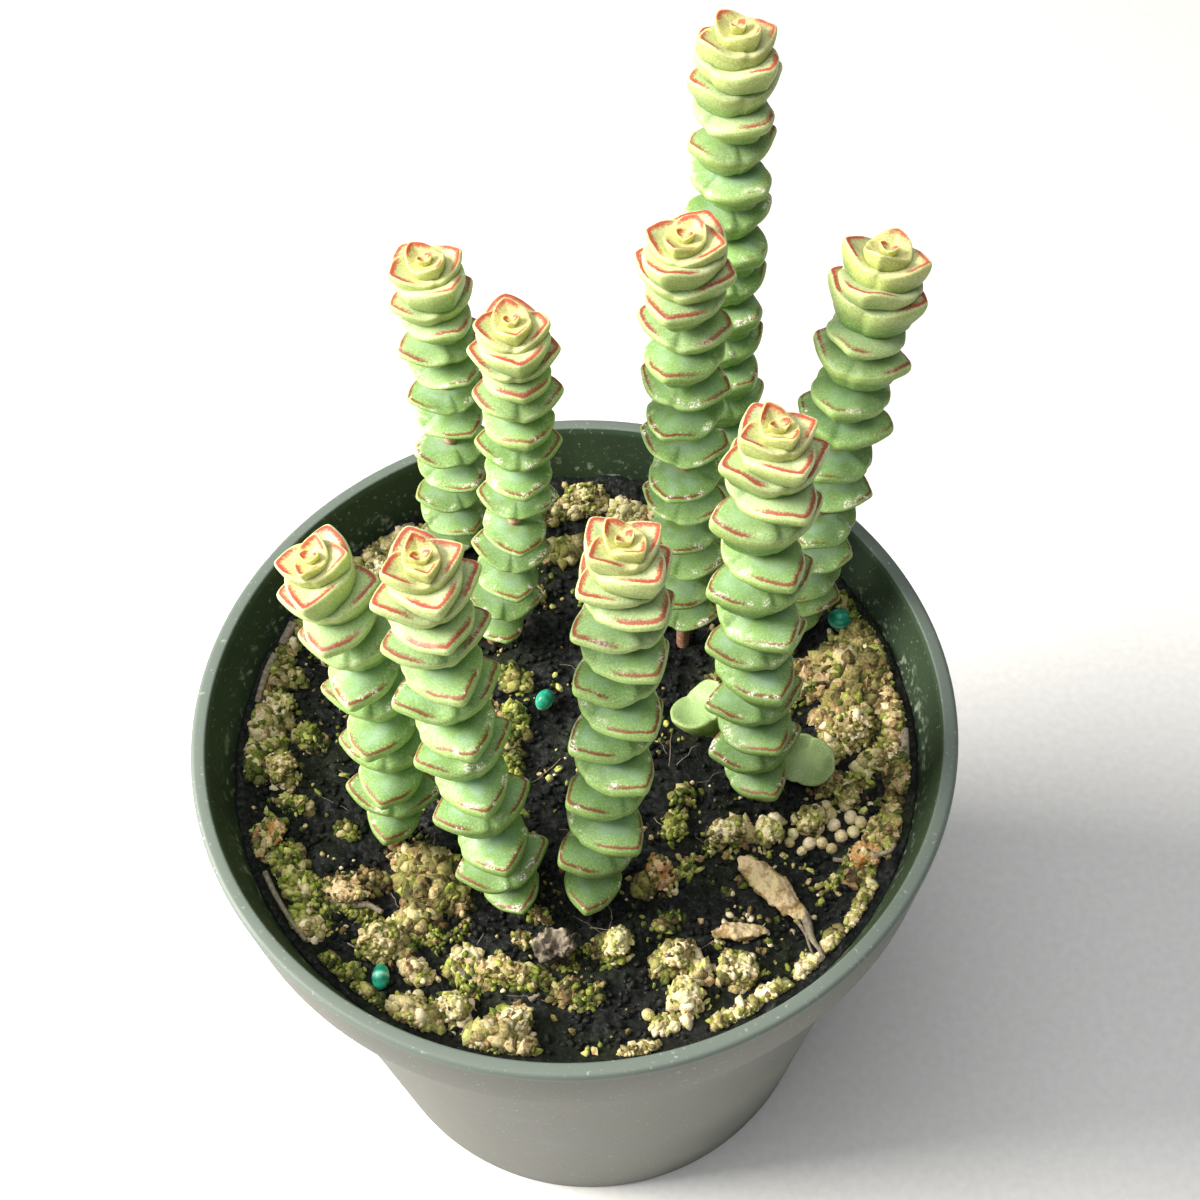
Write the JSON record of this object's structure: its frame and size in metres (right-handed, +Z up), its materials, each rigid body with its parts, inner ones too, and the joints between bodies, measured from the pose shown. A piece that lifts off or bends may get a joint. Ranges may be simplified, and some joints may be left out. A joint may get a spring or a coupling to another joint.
{
  "type": "potted baby necklace crassula",
  "caption": "Stacked leafy succulent stems standing in potting mix in a round plastic nursery pot with a deep skirt round its mouth.",
  "frame": {"origin": "centre of the pot's base, on the surface it stands on", "axes": "+Z up, -Y towards the side with the three front stems, +X to the right seen from there"},
  "size_m": [0.102, 0.102, 0.1703],
  "materials": {
    "pot": "moulded polypropylene, satin, slightly translucent",
    "soil": "dark moist peat mix",
    "leaf": "waxy green leaf with red edges and a pale bloom",
    "bark": "weathered bark crumbs, matt",
    "pumice": "porous pale pumice, matt",
    "bead": "coated feed bead, satin",
    "wood": "old grey brown stem stump"
  },
  "bodies": {
    "root": {"pot": "pot", "soil": "soil", "stem_back_tall": "leaf", "stem_back_middle": "leaf", "stem_back_right": "leaf", "stem_front_right": "leaf", "stem_back_left": "leaf", "stem_middle_left": "leaf", "stem_front_left": "leaf", "stem_front_middle": "leaf", "stem_front_centre": "leaf", "shoot_right": "leaf", "shoot_front_right": "leaf", "pumice_left_white": "pumice", "pumice_left_round": "pumice", "stone_left_orange": "bark", "chip_left_tan": "bark", "lump_front_left": "pumice", "bead_front_left": "bead", "lump_front_edge_left": "bark", "lump_front_edge": "pumice", "pebble_front_edge": "pumice", "chip_front_strip": "pumice", "bark_front_orange": "bark", "lump_front_centre": "pumice", "chunk_front_one": "pumice", "chunk_front_two": "pumice", "chip_front_smooth": "bark", "lump_front_right": "bark", "bark_big": "bark", "pumice_right_one": "pumice", "pumice_right_two": "pumice", "pumice_right_three": "pumice", "pumice_right_four": "pumice", "bark_right_edge": "bark", "chip_right_edge": "bark", "lump_right": "bark", "pumice_right_edge": "pumice", "bead_right": "bead", "bead_middle": "bead", "lump_back_left_one": "pumice", "lump_back_left_two": "pumice", "lump_back": "pumice", "stick_right": "bark", "stump": "wood"}
  },
  "joints": []
}
